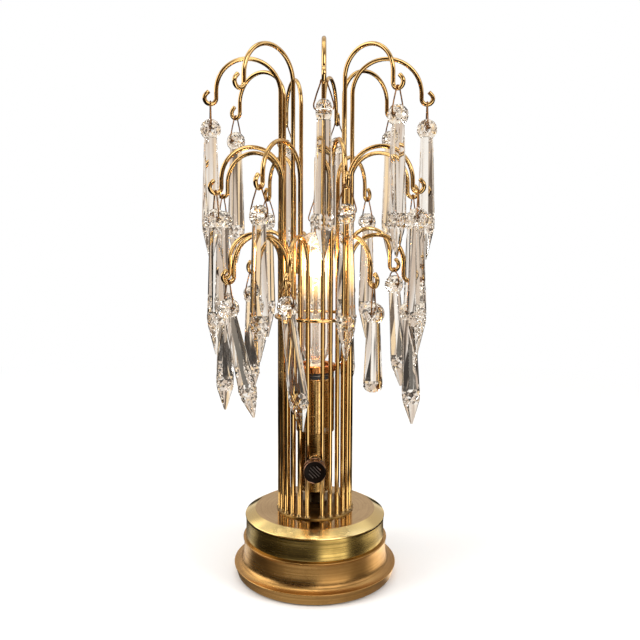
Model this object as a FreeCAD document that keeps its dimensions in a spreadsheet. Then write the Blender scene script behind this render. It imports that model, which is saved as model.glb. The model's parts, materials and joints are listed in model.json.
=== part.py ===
import FreeCAD
import Part
import Sketcher
import math
import os

# Crystal prism table lamp, in millimetres.
# The origin is the middle of the underside, +Z is up and the switch knob faces -Y.
# An azimuth is counted in degrees from the front, -Y, towards +X.

doc = FreeCAD.newDocument("PrismLamp")
sheet = doc.addObject("Spreadsheet::Sheet", "Sizes")

SIZES = [
    # base
    ("felt_radius", 54.0), ("felt_thick", 1.0),
    ("sole_radius", 55.1), ("foot_radius", 58.2), ("foot_height", 8.8), ("cove_height", 11.2),
    ("tier_radius", 51.7), ("tier_height", 26.8),
    ("drum_radius", 49.9), ("plate_radius", 50.2), ("plate_low", 42.3),
    ("face_radius", 42.8), ("plate_top", 47.0), ("casing_wall", 1.6),
    ("weight_radius", 47.5), ("weight_low", 6.0), ("weight_top", 14.5),
    ("bush_height", 19.2), ("bush_radius", 4.5), ("bush_bore", 2.2), ("bush_sleeve", 3.3),
    ("bush_rim", 1.4), ("bush_length", 4.6),
    # threaded stem, nuts, column
    ("stem_radius", 5.0), ("stem_bore", 3.4), ("stem_low", 1.2), ("stem_top", 63.0),
    ("nut_radius", 8.6), ("nut_height", 3.2),
    ("column_radius", 11.4), ("column_low", 60.5), ("column_wall", 1.0),
    ("column_floor", 1.5), ("seat_gap", 0.05),
    # socket
    ("shell_radius", 13.6), ("shell_low", 103.0), ("shell_top", 142.0), ("shell_wall", 0.8),
    ("vent_width", 2.8), ("vent_low", 104.2), ("vent_high", 107.6),
    ("liner_radius", 12.75), ("liner_wall", 1.0), ("liner_low", 122.0),
    ("rim_radius", 14.4), ("rim_low", 146.6), ("rim_top", 151.5), ("mouth_radius", 10.6),
    ("core_radius", 12.75), ("core_top", 122.0),
    ("contact_radius", 2.5), ("contact_top", 124.2),
    ("thread_radius", 7.1), ("thread_wall", 0.5), ("thread_top", 147.0),
    # switch
    ("switch_height", 84.2), ("switch_width", 10.0), ("switch_front", 8.6), ("switch_length", 14.0),
    ("collar_radius", 4.6), ("collar_length", 6.4), ("shaft_radius", 2.0), ("shaft_length", 20.3),
    ("shaft_gap", 0.1),
    ("knob_back", 29.0), ("knob_radius", 7.8), ("knob_length", 8.6), ("knob_wall", 0.9),
    ("knob_recess", 0.3), ("groove_width", 1.0), ("groove_depth", 0.6),
    # bulb
    ("cap_radius", 6.5), ("cap_low", 124.5), ("cap_shoulder", 127.0), ("cap_top", 149.5),
    ("glass_radius", 12.5), ("glass_neck", 6.4), ("shoulder_top", 162.0),
    ("dome_low", 241.0), ("dome_radius", 8.5), ("glass_top", 246.0), ("glass_wall", 0.8),
    ("filament_low", 206.0), ("filament_top", 238.0), ("filament_spread", 4.0),
    ("filament_wire", 0.4), ("filament_bends", 5),
    ("lead_offset", 1.5), ("short_lead_drop", 6.0), ("long_lead_offset", 5.5), ("long_lead_drop", 10.0),
    # rods and hoop
    ("rod_radius", 1.5), ("cage_radius", 25.4), ("disc_radius", 27.4), ("disc_thick", 1.0),
    ("front_gap", 23.0), ("rods_per_tier", 9),
    ("top_peak", 364.0), ("tier_spacing", 60.0), ("upper_reach", 72.5), ("lower_reach", 67.0),
    ("hook_radius", 4.0), ("hook_hang", 27.5), ("hook_tip", 2.6),
    ("hoop_wire", 1.25), ("hoop_height", 185.6),
    # wire pins and prisms
    ("pin_radius", 0.5), ("pin_length", 16.5), ("pin_half_width", 6.0), ("pin_shoulder", 5.2),
    ("pin_rise", 6.5), ("pin_crown", 1.97),
    ("head_radius", 7.2), ("head_face", 3.4), ("head_half_face", 4.9), ("head_half_girdle", 2.1),
    ("head_hole", 1.3), ("hole_drop", 0.66), ("neck_radius", 4.4), ("neck_drop", 5.2),
    ("belt_radius", 6.3), ("belt_drop", 64.5), ("belt_height", 5.0),
    ("tip_drop", 91.0), ("tip_radius", 0.8),
    ("lower_belt_drop", 56.5), ("lower_tip_drop", 78.0),
    ("short_belt_drop", 45.0), ("short_tip_drop", 50.5), ("short_tip_radius", 3.2),
]

# The arms are bent by hand. For each tier, in order round the lamp from the front gap: degrees
# that an arm turns from its rod's azimuth, how much higher it stands and how much further it goes.
ARM_BENDS = {
    "top": ([-7.5, -1, -1, -1, 0, -6, -6, -2, -2.5],
            [5, 6, 2, -1, -3, -5, -3, 0, 4],
            [0, -3, 5, -2, 0, 0, -2, 1, 2]),
    "middle": ([-9, -1, -1, 4, 0, -6, -6.5, -1.5, -2.5],
               [2, 0, -2, -3, -3, -3, -2, -1, 1],
               [0, 4, -1, -3, 0, -2, 0, 1, 4]),
    "lower": ([-3.5, -2, 2, 4, 0, -4, -2, -4.5, -3.5],
              [-1, 0, 4, 0, 0, 1, 0, 0, -1],
              [0, 0, -1, 0, 0, 0, -2, 3, 0]),
}
EMPTY_HOOKS = [("top", 9)]
SHORT_PRISMS = [("lower", 1)]
# degrees that a prism hangs away from the plumb line: outwards, and to the viewer's right
SWUNG_OUT = {("lower", 2): 2.0, ("lower", 3): 5.0, ("lower", 8): -14.0}
LEANING = {("lower", 9): 10.0}
# degrees that a pin and its prism are turned on the hook, about the plumb line
TURNED = {("middle", 2): 14.0, ("middle", 4): -20.0, ("lower", 1): 40.0, ("lower", 9): -30.0}
PIN_LENGTHS = {("lower", 2): 21.0, ("lower", 3): 10.0, ("lower", 9): 11.5}

for row, (alias, number) in enumerate(SIZES, start=1):
    sheet.set("A%d" % row, alias)
    sheet.set("B%d" % row, str(number))
    sheet.setAlias("B%d" % row, alias)
doc.recompute()


def size(alias):
    return float(getattr(sheet, alias))


def bound(words):
    """Turns a short sum of sheet words into an expression for another object."""
    return " ".join("Sizes." + word if word[0].isalpha() else word for word in words.split())


def amount(words):
    total, sign = 0.0, 1.0
    for word in words.split():
        if word in "+-":
            sign = 1.0 if word == "+" else -1.0
        else:
            total += sign * (size(word) if word[0].isalpha() else float(word))
    return total


# Turned pieces: a closed outline of half the piece, spun about the upright axis
def outline(body, name, corners):
    """A corner is (across, up) in sheet words."""
    sketch = body.newObject("Sketcher::SketchObject", name)
    plane = [item for item in body.Origin.OriginFeatures if item.Role == "XZ_Plane"][0]
    sketch.AttachmentSupport = (plane, [""])
    sketch.MapMode = "FlatFace"
    points = [FreeCAD.Vector(amount(across), amount(up), 0) for across, up in corners]
    count = len(corners)
    for index, start in enumerate(points):
        sketch.addGeometry(Part.LineSegment(start, points[(index + 1) % count]), False)
    for index in range(count):
        sketch.addConstraint(Sketcher.Constraint("Coincident", index, 2, (index + 1) % count, 1))
    for index, (across, up) in enumerate(corners):
        for kind, words, axis in (("DistanceX", across, -2), ("DistanceY", up, -1)):
            if words == "0":
                sketch.addConstraint(Sketcher.Constraint("PointOnObject", index, 1, axis))
            else:
                place = sketch.addConstraint(
                    Sketcher.Constraint(kind, -1, 1, index, 1, amount(words)))
                sketch.setExpression("Constraints[%d]" % place, bound(words))
    return sketch


def turned(name, corners):
    body = doc.addObject("PartDesign::Body", name)
    body.Label = name
    sketch = outline(body, name + "_outline", corners)
    spin = body.newObject("PartDesign::Revolution", name + "_spin")
    spin.Profile = sketch
    spin.ReferenceAxis = (sketch, ["V_Axis"])
    spin.Angle = 360
    return body


def lay_forwards(part, height, depth):
    """Turns an upright piece so that it points along -Y, and starts it at a depth from the axis."""
    part.Placement = FreeCAD.Placement(FreeCAD.Vector(), FreeCAD.Rotation(FreeCAD.Vector(1, 0, 0), 90))
    part.setExpression("Placement.Base.y", bound(depth))
    part.setExpression("Placement.Base.z", bound(height))


def primitive(kind, name, bindings):
    part = doc.addObject(kind, name)
    part.Label = name
    for setting, words in bindings.items():
        part.setExpression(setting, bound(words))
    return part


def cut(name, base, tool):
    part = doc.addObject("Part::Cut", name)
    part.Label = name
    part.Base = base
    part.Tool = tool
    return part


def feature(name, shape):
    part = doc.addObject("Part::Feature", name)
    part.Label = name
    part.Shape = shape
    return part


# Base: a spun lower casing with its foot, cove and second tier, a drum ring and a top plate
def make_base():
    casing = turned("foot_casing", [
        ("sole_radius", "felt_thick"), ("foot_radius", "foot_height"),
        ("tier_radius", "cove_height"), ("tier_radius", "tier_height"),
        ("weight_radius", "tier_height"), ("weight_radius", "felt_thick")])
    lead_hole = primitive("Part::Cylinder", "lead_hole",
                          {"Radius": "bush_sleeve + seat_gap", "Height": "tier_radius"})
    lay_forwards(lead_hole, "bush_height", "tier_radius + bush_length")
    cut("base_foot", casing, lead_hole)
    turned("base_drum", [
        ("drum_radius - casing_wall", "tier_height"), ("drum_radius", "tier_height"),
        ("drum_radius", "plate_low"), ("drum_radius - casing_wall", "plate_low")])
    turned("top_plate", [
        ("stem_radius + seat_gap", "plate_low"), ("plate_radius", "plate_low"),
        ("face_radius", "plate_top"), ("stem_radius + seat_gap", "plate_top")])
    turned("base_weight", [
        ("stem_radius + seat_gap", "weight_low"), ("weight_radius", "weight_low"),
        ("weight_radius", "weight_top"), ("stem_radius + seat_gap", "weight_top")])
    primitive("Part::Cylinder", "felt_pad", {"Radius": "felt_radius", "Height": "felt_thick"})
    bush = turned("cord_bush", [
        ("bush_bore", "0"), ("bush_sleeve", "0"), ("bush_sleeve", "bush_length - bush_rim"),
        ("bush_radius", "bush_length - bush_rim"), ("bush_radius", "bush_length"),
        ("bush_bore", "bush_length")])
    bush.Placement = FreeCAD.Placement(FreeCAD.Vector(), FreeCAD.Rotation(FreeCAD.Vector(1, 0, 0), -90))
    bush.setExpression("Placement.Base.y", bound("tier_radius + bush_rim - bush_length"))
    bush.setExpression("Placement.Base.z", bound("bush_height"))


# Stem: a hollow threaded rod that clamps the base together and carries the column
def group(name, parts):
    pieces = doc.addObject("Part::Compound", name)
    pieces.Label = name
    pieces.Links = parts


def make_nut(name, low):
    blank = primitive("Part::Prism", name + "_blank",
                      {"Circumradius": "nut_radius", "Height": "nut_height"})
    bore = primitive("Part::Cylinder", name + "_bore",
                     {"Radius": "stem_radius + seat_gap", "Height": "nut_height"})
    for piece in (blank, bore):
        piece.setExpression("Placement.Base.z", bound(low))
    return cut(name, blank, bore)


def make_stem():
    turned("threaded_stem", [
        ("stem_bore", "stem_low"), ("stem_radius", "stem_low"),
        ("stem_radius", "stem_top"), ("stem_bore", "stem_top")])
    turned("rod_disc", [
        ("stem_radius + seat_gap", "plate_top"), ("disc_radius", "plate_top"),
        ("disc_radius", "plate_top + disc_thick"),
        ("stem_radius + seat_gap", "plate_top + disc_thick")])
    group("stem_nuts", [make_nut("nut_below", "weight_low - nut_height"),
                        make_nut("nut_above", "plate_top + disc_thick")])


# Column and socket
def make_column():
    tube = turned("column_tube", [
        ("stem_radius + seat_gap", "column_low"), ("column_radius", "column_low"),
        ("column_radius", "shell_low"), ("column_radius - column_wall", "shell_low"),
        ("column_radius - column_wall", "column_low + column_floor"),
        ("stem_radius + seat_gap", "column_low + column_floor")])
    hole = primitive("Part::Cylinder", "collar_hole",
                     {"Radius": "collar_radius + seat_gap", "Height": "collar_length"})
    lay_forwards(hole, "switch_height", "0 - switch_front")
    cut("column", tube, hole)


def make_socket():
    add_vents(turned("socket_shell", [
        ("shell_radius - shell_wall", "shell_low"), ("shell_radius", "shell_low"),
        ("shell_radius", "shell_top"), ("shell_radius - shell_wall", "shell_top")]))
    turned("socket_liner", [
        ("liner_radius - liner_wall", "liner_low"), ("liner_radius", "liner_low"),
        ("liner_radius", "rim_low"), ("liner_radius - liner_wall", "rim_low")])
    turned("rim_ring", [
        ("mouth_radius", "rim_low"), ("rim_radius", "rim_low"),
        ("rim_radius", "rim_top"), ("mouth_radius", "rim_top")])
    core = primitive("Part::Prism", "socket_core",
                     {"Circumradius": "core_radius", "Height": "core_top - shell_low"})
    core.Polygon = 8
    core.setExpression("Placement.Base.z", bound("shell_low"))
    turned("screw_shell", [
        ("thread_radius - thread_wall", "core_top"), ("thread_radius", "core_top"),
        ("thread_radius", "thread_top"), ("thread_radius - thread_wall", "thread_top")])
    contact = primitive("Part::Cylinder", "centre_contact",
                        {"Radius": "contact_radius", "Height": "contact_top - core_top"})
    contact.setExpression("Placement.Base.z", bound("core_top"))


def add_vents(body):
    """Three slots cut right through the shell, which leave six vents round its foot."""
    sketch = body.newObject("Sketcher::SketchObject", "vent_slot")
    planes = {item.Role: item for item in body.Origin.OriginFeatures}
    sketch.AttachmentSupport = (planes["YZ_Plane"], [""])
    sketch.MapMode = "FlatFace"
    across, low, high = size("vent_width") / 2, size("vent_low"), size("vent_high")
    corners = [FreeCAD.Vector(-across, low, 0), FreeCAD.Vector(across, low, 0),
               FreeCAD.Vector(across, high, 0), FreeCAD.Vector(-across, high, 0)]
    for side in range(4):
        sketch.addGeometry(Part.LineSegment(corners[side], corners[(side + 1) % 4]), False)
    for side, direction in ((1, "Vertical"), (2, "Horizontal"), (3, "Vertical")):
        sketch.addConstraint(Sketcher.Constraint(direction, side))
    for side in range(4):
        sketch.addConstraint(Sketcher.Constraint("Coincident", side, 2, (side + 1) % 4, 1))
    sketch.addConstraint(Sketcher.Constraint("Symmetric", 0, 1, 0, 2, -2))
    for kind, ends, word in (("DistanceX", (0, 1, 0, 2), "vent_width"),
                             ("DistanceY", (-1, 1, 0, 2), "vent_low"),
                             ("DistanceY", (-1, 1, 1, 2), "vent_high")):
        place = sketch.addConstraint(Sketcher.Constraint(kind, *ends, size(word)))
        sketch.setExpression("Constraints[%d]" % place, bound(word))
    cutter = body.newObject("PartDesign::Pocket", "vent_cut")
    cutter.Profile = sketch
    cutter.Type = "ThroughAll"
    cutter.Midplane = True
    doc.recompute()
    ring = body.newObject("PartDesign::PolarPattern", "vent_ring")
    ring.Originals = [cutter]
    ring.Axis = (planes["Z_Axis"], [""])
    ring.Angle = 360
    ring.Occurrences = 3
    body.Tip = ring


# Switch: its body lies in the column, and the knob turns on a shaft through the gap in the rods
def make_switch():
    body = primitive("Part::Box", "switch_body",
                     {"Length": "switch_width", "Width": "switch_length", "Height": "switch_width"})
    body.setExpression("Placement.Base.x", bound("0 - switch_width") + " / 2")
    body.setExpression("Placement.Base.y", bound("0 - switch_front"))
    body.setExpression("Placement.Base.z", bound("switch_height") + " - Sizes.switch_width / 2")
    collar = turned("switch_collar", [
        ("shaft_radius + seat_gap", "0"), ("collar_radius", "0"),
        ("collar_radius", "collar_length"), ("shaft_radius + seat_gap", "collar_length")])
    lay_forwards(collar, "switch_height", "0 - switch_front")
    shaft = primitive("Part::Cylinder", "switch_shaft",
                      {"Radius": "shaft_radius", "Height": "shaft_length"})
    lay_forwards(shaft, "switch_height", "0 - switch_front - shaft_gap")
    inner = "knob_radius - knob_wall"
    rim = turned("knob_rim", [
        (inner, "0"), ("knob_radius", "0"), ("knob_radius", "knob_length"),
        (inner, "knob_length")])
    lay_forwards(rim, "switch_height", "0 - knob_back")
    disc = primitive("Part::Cylinder", "knob_disc",
                     {"Radius": inner, "Height": "knob_length - knob_recess"})
    groove = primitive("Part::Box", "pointer_groove",
                       {"Length": "knob_radius", "Width": "groove_width", "Height": "knob_wall"})
    slope = FreeCAD.Rotation(FreeCAD.Vector(0, 0, 1), 135)
    groove.Placement = FreeCAD.Placement(FreeCAD.Vector(), slope)
    groove.setExpression("Placement.Base.z", bound("knob_length - knob_recess - groove_depth"))
    face = cut("knob_face", disc, groove)
    lay_forwards(face, "switch_height", "0 - knob_back")


# Bulb: a clear tube with a screw cap
def make_bulb():
    turned("bulb_cap", [
        ("0", "cap_low"), ("contact_radius", "cap_low"), ("contact_radius", "cap_shoulder"),
        ("cap_radius", "cap_shoulder"), ("cap_radius", "cap_top"), ("0", "cap_top")])
    turned("bulb_glass", [
        ("glass_neck", "cap_top"), ("glass_radius", "shoulder_top"),
        ("glass_radius", "dome_low"), ("dome_radius", "glass_top"), ("0", "glass_top"),
        ("0", "dome_low"), ("glass_radius - glass_wall", "dome_low"),
        ("glass_radius - glass_wall", "shoulder_top"),
        ("glass_neck - glass_wall", "shoulder_top"), ("glass_neck - glass_wall", "cap_top")])
    near, far = size("lead_offset"), size("long_lead_offset")
    points = [(-near, size("cap_top")), (-near, size("filament_low") - size("short_lead_drop"))]
    bends = int(size("filament_bends"))
    climb = size("filament_top") - size("filament_low")
    for bend in range(bends):
        side = -1 if bend % 2 == 0 else 1
        spread = side * size("filament_spread") / 2
        points.append((spread, size("filament_low") + climb * (bend + 0.5) / bends))
    points += [(far, size("filament_top")), (far, size("filament_low") - size("long_lead_drop")),
               (near, size("shoulder_top")), (near, size("cap_top"))]
    path = [FreeCAD.Vector(across, 0, up) for across, up in points]
    feature("filament", bent_bar(path, size("filament_wire"), 4, FreeCAD.Vector(0, 1, 0)))


# Bent wire: a many-sided section carried along a flat path, mitred at each bend
def ring_of(path, index, radius, sides, normal, closed):
    count = len(path)
    here = path[index]
    before = path[(index - 1) % count] if closed or index > 0 else None
    after = path[(index + 1) % count] if closed or index < count - 1 else None
    arriving = (here - before).normalize() if before is not None else (after - here).normalize()
    leaving = (after - here).normalize() if after is not None else arriving
    along = (arriving + leaving).normalize()
    across = normal.cross(along).normalize()
    stretch = 1.0 / max(across.dot(normal.cross(arriving).normalize()), 0.3)
    corners = []
    for side in range(sides):
        angle = 2 * math.pi * (side + 0.5) / sides
        corners.append(here + across * (radius * stretch * math.cos(angle))
                       + normal * (radius * math.sin(angle)))
    return corners


def flat_face(corners):
    return Part.Face(Part.makePolygon(corners + [corners[0]]))


def bent_bar(path, radius, sides, normal, closed=False):
    rings = [ring_of(path, index, radius, sides, normal, closed) for index in range(len(path))]
    faces = []
    spans = len(path) if closed else len(path) - 1
    for index in range(spans):
        near, far = rings[index], rings[(index + 1) % len(path)]
        for side in range(sides):
            following = (side + 1) % sides
            faces.append(flat_face([near[side], near[following], far[following], far[side]]))
    if not closed:
        faces += [flat_face(rings[0]), flat_face(rings[-1])]
    return solid_of(faces)


def solid_of(faces):
    shell = Part.makeShell(faces)
    solid = Part.makeSolid(shell)
    if solid.Volume < 0:
        solid.reverse()
    return solid


# Rods: each wire stands in the ring, arches over and ends in a hook that curls outwards and up
def level_way(azimuth):
    """The level direction at an azimuth, which is counted from the front, to the viewer's right."""
    angle = math.radians(azimuth)
    return FreeCAD.Vector(math.sin(angle), -math.cos(angle), 0)


class Hanger:
    """Where one rod stands, and where its hook and its prism hang."""

    def __init__(self, tier, number, azimuth):
        turns, lifts, reaches = ARM_BENDS[tier]
        self.tier = tier
        self.number = number
        self.root = azimuth
        self.azimuth = azimuth + turns[number - 1]
        levels = {"top": 0, "middle": 1, "lower": 2}
        self.peak = size("top_peak") - levels[tier] * size("tier_spacing") + lifts[number - 1]
        reach = size("lower_reach") if tier == "lower" else size("upper_reach")
        self.reach = reach + reaches[number - 1]
        self.hook_height = self.peak - size("hook_hang")
        self.key = (tier, number)
        self.pin_length = PIN_LENGTHS.get(self.key, size("pin_length"))
        self.pin_height = self.hook_height - size("hook_radius") - self.pin_length
        self.facing = self.azimuth + TURNED.get(self.key, 0.0)
        self.swing = SWUNG_OUT.get(self.key, 0.0)
        self.lean = LEANING.get(self.key, 0.0)

    def outwards(self):
        return level_way(self.azimuth)

    def foot(self):
        return level_way(self.root) * size("cage_radius")

    def hook_centre(self):
        return self.outwards() * self.reach + FreeCAD.Vector(0, 0, self.hook_height)

    def pin_centre(self):
        return self.outwards() * self.reach + FreeCAD.Vector(0, 0, self.pin_height)


def make_hangers():
    tiers = ["top", "middle", "lower"]
    per_tier = int(size("rods_per_tier"))
    gap = size("front_gap")
    step = (360.0 - gap) / (per_tier * len(tiers) - 1)
    return [Hanger(tiers[place % 3], place // 3 + 1, gap / 2 + step * place)
            for place in range(per_tier * len(tiers))]


def bend_points(centre, radius, start, turn, chords):
    """The corners of a bend made of straight chords, each of which touches the true curve."""
    step = turn / chords
    spread = radius / math.cos(math.radians(step / 2))
    angles = [math.radians(start + step * (chord + 0.5)) for chord in range(chords)]
    return [(centre[0] + spread * math.cos(angle), centre[1] + spread * math.sin(angle))
            for angle in angles]


def rod_path(hanger):
    """The wire's middle line. It lies in one upright plane, through the rod and the hook."""
    foot = hanger.foot()
    hook = hanger.hook_centre()
    flat = FreeCAD.Vector(hook.x - foot.x, hook.y - foot.y, 0)
    outwards = FreeCAD.Vector(flat).normalize()
    hook_radius = size("hook_radius")
    arch = (flat.Length - hook_radius) / 2
    points = [(0.0, size("plate_top") + size("disc_thick"))]
    points += bend_points((arch, hanger.peak - arch), arch, 180, -180, 6)
    hook_bend = bend_points((flat.Length, hanger.hook_height), hook_radius, 180, 225, 5)
    slope = math.radians(225 - 90)
    reach = hook_radius * math.tan(math.radians(22.5)) + size("hook_tip")
    tip = (hook_bend[-1][0] + reach * math.cos(slope), hook_bend[-1][1] + reach * math.sin(slope))
    points += hook_bend + [tip]
    path = [foot + outwards * across + FreeCAD.Vector(0, 0, up) for across, up in points]
    return path, outwards.cross(FreeCAD.Vector(0, 0, 1))


def make_rods(hangers):
    for tier in ARM_BENDS:
        rods = []
        for hanger in hangers:
            if hanger.tier == tier:
                path, normal = rod_path(hanger)
                rods.append(bent_bar(path, size("rod_radius"), 6, normal))
        feature("rods_" + tier, Part.makeCompound(rods))


def make_hoop():
    count = int(size("rods_per_tier")) * 3
    inner = size("cage_radius") + size("rod_radius")
    radius = (inner + size("hoop_wire") * math.cos(math.radians(30))) / math.cos(math.pi / count)
    angles = [2 * math.pi * step / count for step in range(count)]
    path = [FreeCAD.Vector(radius * math.cos(angle), radius * math.sin(angle), size("hoop_height"))
            for angle in angles]
    feature("hoop_ring", bent_bar(path, size("hoop_wire"), 6, FreeCAD.Vector(0, 0, 1), closed=True))


# Wire pins: a closed loop over the hook, down both sides of the prism's head and through its hole
def pin_loop(hanger):
    length, half = hanger.pin_length, size("pin_half_width")
    shoulder, rise, crown = size("pin_shoulder"), size("pin_rise"), size("pin_crown")
    slant = 1 / math.cos(math.radians(hanger.facing - hanger.azimuth))
    crown_width, crown_height = crown * (1.3 * slant - 0.3), crown * slant
    lean = math.radians(hanger.lean)
    lower = []
    for across, up in ((-shoulder, rise), (-half, 0.0), (half, 0.0), (shoulder, rise)):
        lower.append((across * math.cos(lean) - up * math.sin(lean),
                      up * math.cos(lean) + across * math.sin(lean) - length))
    arch = math.radians(60)
    upper = [(crown_width * math.cos(arch * corner), crown_height * math.sin(arch * corner))
             for corner in range(4)]
    outwards = level_way(hanger.facing)
    sideways = FreeCAD.Vector(-outwards.y, outwards.x, 0)
    middle = hanger.hook_centre() - FreeCAD.Vector(0, 0, size("hook_radius"))
    path = [middle + sideways * across + FreeCAD.Vector(0, 0, up) for across, up in lower + upper]
    return bent_bar(path, size("pin_radius"), 4, outwards, closed=True)


def make_pins(hangers):
    for tier in ARM_BENDS:
        loops = [pin_loop(hanger) for hanger in hangers
                 if hanger.tier == tier and hanger.key not in EMPTY_HOOKS]
        feature("pins_" + tier, Part.makeCompound(loops))


# Prisms: one cut crystal each, with a round head, an eight-sided body, a belt and a spear tip
def octagon(radius, level, turned_half, along="z"):
    corners = []
    for corner in range(8):
        angle = math.radians(45.0 * corner + (22.5 if turned_half else 0.0))
        first, second = radius * math.cos(angle), radius * math.sin(angle)
        if along == "z":
            corners.append(FreeCAD.Vector(first, second, level))
        else:
            corners.append(FreeCAD.Vector(level, first, second))
    return corners


def facets_between(lower, upper):
    """Triangles between two octagons, one of them turned by half a side."""
    faces = []
    for corner in range(8):
        following = (corner + 1) % 8
        faces.append(flat_face([lower[corner], lower[following], upper[following]]))
        faces.append(flat_face([upper[corner], lower[corner], upper[following]]))
    return faces


def sides_between(lower, upper):
    return [flat_face([lower[corner], lower[(corner + 1) % 8], upper[(corner + 1) % 8], upper[corner]])
            for corner in range(8)]


def crystal(belt_drop, tip_drop, tip_radius):
    """Its origin is where the pin's wire bears on the hole, which lies above the head's middle."""
    belt_low = belt_drop + size("belt_height")
    top = octagon(size("neck_radius"), -size("neck_drop"), False)
    belt = octagon(size("belt_radius"), -belt_drop, False)
    lower_belt = octagon(size("belt_radius"), -belt_low, True)
    tip = octagon(tip_radius, -tip_drop, True)
    faces = [flat_face(top), flat_face(tip)] + sides_between(belt, top)
    faces += facets_between(lower_belt, belt) + sides_between(tip, lower_belt)
    body = solid_of(faces)
    half_face, girdle = size("head_half_face"), size("head_half_girdle")
    rings = [octagon(size("head_face"), -half_face, True, "x"),
             octagon(size("head_radius"), -girdle, False, "x"),
             octagon(size("head_radius"), girdle, False, "x"),
             octagon(size("head_face"), half_face, True, "x")]
    faces = [flat_face(rings[0]), flat_face(rings[3])] + sides_between(rings[1], rings[2])
    faces += facets_between(rings[0], rings[1]) + facets_between(rings[3], rings[2])
    head = solid_of(faces)
    hole = flat_face(octagon(size("head_hole"), -half_face - 1, True, "x"))
    hole = hole.extrude(FreeCAD.Vector(2 * half_face + 2, 0, 0))
    prism = body.fuse(head).cut(hole).removeSplitter()
    prism.translate(FreeCAD.Vector(0, 0, -size("hole_drop")))
    return prism


def prism_place(hanger):
    """The prism's own X axis is the hole through its head, and its -Y faces away from the lamp."""
    facing = FreeCAD.Rotation(FreeCAD.Vector(0, 0, 1), hanger.facing)
    leaning = FreeCAD.Rotation(FreeCAD.Vector(0, 1, 0), -hanger.lean)
    swung = FreeCAD.Rotation(FreeCAD.Vector(1, 0, 0), -hanger.swing)
    return FreeCAD.Placement(hanger.pin_centre(), facing.multiply(leaning).multiply(swung))


def make_prisms(hangers):
    spear = crystal(size("belt_drop"), size("tip_drop"), size("tip_radius"))
    small_spear = crystal(size("lower_belt_drop"), size("lower_tip_drop"), size("tip_radius"))
    stub = crystal(size("short_belt_drop"), size("short_tip_drop"), size("short_tip_radius"))
    names = []
    for hanger in hangers:
        if hanger.key in EMPTY_HOOKS:
            continue
        name = "prism_%s_%d" % hanger.key
        cut_glass = small_spear if hanger.tier == "lower" else spear
        part = feature(name, stub if hanger.key in SHORT_PRISMS else cut_glass)
        part.Placement = prism_place(hanger)
        names.append(name)
    return names


NODES = ["base_foot", "base_drum", "top_plate", "base_weight", "felt_pad", "cord_bush",
         "threaded_stem", "rod_disc", "stem_nuts", "column", "socket_shell", "socket_liner",
         "rim_ring", "socket_core", "screw_shell", "centre_contact", "switch_body",
         "switch_collar", "switch_shaft", "knob_rim", "knob_face", "bulb_cap", "bulb_glass",
         "filament", "hoop_ring", "rods_top", "rods_middle", "rods_lower", "pins_top",
         "pins_middle", "pins_lower"]

HANGERS = make_hangers()
make_base()
make_stem()
make_column()
make_socket()
make_switch()
make_bulb()
make_rods(HANGERS)
make_hoop()
make_pins(HANGERS)
NODES += make_prisms(HANGERS)
doc.recompute()

for item in doc.Objects:
    if "Invalid" in item.State or "Error" in item.State:
        raise RuntimeError("%s didn't build: %s" % (item.Label, item.State))
os.makedirs("parts", exist_ok=True)
for name in NODES:
    part = doc.getObjectsByLabel(name)[0]
    if part.Shape.isNull() or not part.Shape.isValid():
        raise RuntimeError("%s has no sound shape" % name)
    part.Shape.exportStep("parts/%s.step" % name)
print("%d nodes written" % len(NODES))
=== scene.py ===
import json
import math
import bpy
from mathutils import Matrix, Vector


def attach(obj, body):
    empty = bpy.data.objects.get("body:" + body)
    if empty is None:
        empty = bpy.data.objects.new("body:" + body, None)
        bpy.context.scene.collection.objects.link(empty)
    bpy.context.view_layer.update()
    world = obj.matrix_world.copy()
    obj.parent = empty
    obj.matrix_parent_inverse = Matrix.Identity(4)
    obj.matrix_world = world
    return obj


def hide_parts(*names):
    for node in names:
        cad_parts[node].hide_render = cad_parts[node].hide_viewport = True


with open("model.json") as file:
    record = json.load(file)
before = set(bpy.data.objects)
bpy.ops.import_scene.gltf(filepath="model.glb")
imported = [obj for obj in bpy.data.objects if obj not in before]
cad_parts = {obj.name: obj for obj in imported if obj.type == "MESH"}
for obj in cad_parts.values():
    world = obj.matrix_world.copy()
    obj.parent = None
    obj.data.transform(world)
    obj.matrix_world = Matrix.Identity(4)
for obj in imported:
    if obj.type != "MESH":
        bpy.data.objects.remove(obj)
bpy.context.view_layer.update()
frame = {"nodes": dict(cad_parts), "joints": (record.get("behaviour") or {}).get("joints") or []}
mm = 0.001

# Camera, where the photograph was taken from
view = {
    "place": (0.00308, -0.542, 0.2545), "pitch": 86.0, "roll": 0.2,
    "lens": 42.98, "sensor": 36.0, "shiftY": -0.0739, "nearest": 0.01,
}


def placeCamera():
    bpy.ops.object.camera_add(location=view["place"])
    camera = bpy.context.object
    camera.name = "photoCamera"
    pitch = Matrix.Rotation(math.radians(view["pitch"]), 4, "X")
    roll = Matrix.Rotation(math.radians(view["roll"]), 4, "Z")
    camera.matrix_world = Matrix.Translation(view["place"]) @ pitch @ roll
    camera.data.lens = view["lens"]
    camera.data.sensor_width = view["sensor"]
    camera.data.shift_y = view["shiftY"]
    camera.data.clip_start = view["nearest"]
    camera.data.dof.use_dof = False
    bpy.context.scene.camera = camera


bpy.ops.object.select_all(action="DESELECT")
placeCamera()
print("camera placed")


# Small helpers for node trees. A colour is three numbers, and its alpha 1
def feed(tree, socket, value):
    if isinstance(value, bpy.types.NodeSocket):
        tree.links.new(value, socket)
    elif isinstance(value, tuple):
        socket.default_value = (*value, 1.0)
    else:
        socket.default_value = value


def addNode(tree, kind, inputs=None, **settings):
    node = tree.nodes.new(kind)
    for name, value in settings.items():
        setattr(node, name, value)
    for name, value in (inputs or {}).items():
        feed(tree, node.inputs[name], value)
    return node


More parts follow.
